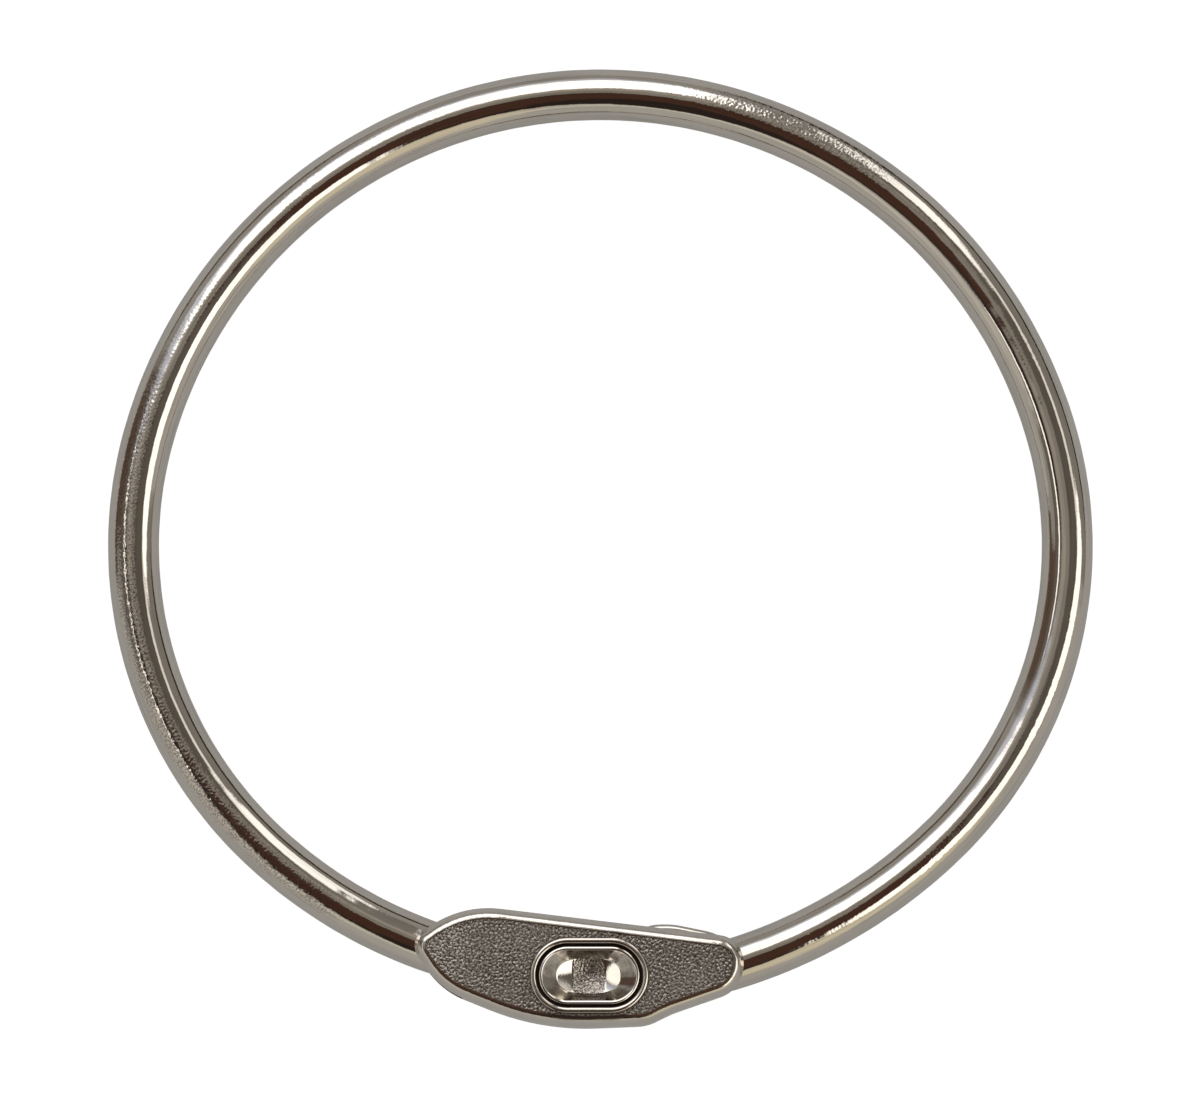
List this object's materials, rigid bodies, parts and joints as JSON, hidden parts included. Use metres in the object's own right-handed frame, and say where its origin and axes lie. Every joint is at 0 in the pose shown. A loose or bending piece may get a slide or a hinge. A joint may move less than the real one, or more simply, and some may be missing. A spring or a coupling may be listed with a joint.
{
  "type": "binder ring",
  "caption": "Round wire hoop closed by a flat cast clasp; pressing the oval button frees the hoop's end so that the clasp swings open for punched pages.",
  "frame": {"origin": "centre of the hoop on its widest line, in the plane of the wire's mid-line", "axes": "+Z square to the hoop, towards the push button; +X to the right across the hoop; the clasp lies towards -Y"},
  "size_m": [0.085, 0.083, 0.0072],
  "materials": {
    "polished_nickel": "polished",
    "cast_nickel": "satin",
    "button_nickel": "polished",
    "spring_steel": "satin",
    "pin_steel": "satin",
    "cover_nickel": "satin"
  },
  "bodies": {
    "hoop": {"hoop": "polished_nickel"},
    "clasp": {"clasp_body": "cast_nickel", "pivot_pin": "pin_steel", "back_plate": "cover_nickel", "cover_rivets": "pin_steel", "spring_catch": "spring_steel"},
    "button": {"push_button": "button_nickel"}
  },
  "joints": [
    {"name": "clasp_swing", "type": "hinge", "parent": "hoop", "child": "clasp", "pos_m": [-0.01072, -0.03587, 0], "axis": [0, 0, -1], "range_deg": [0, 45], "deforming": ["spring_catch"]},
    {"name": "button_press", "type": "slide", "parent": "clasp", "child": "button", "axis": [0, 0, -1], "range_m": [0, 0.0005], "stiffness_N_per_m": 3000, "springref_m": -0.0003, "deforming": ["spring_catch"]}
  ]
}
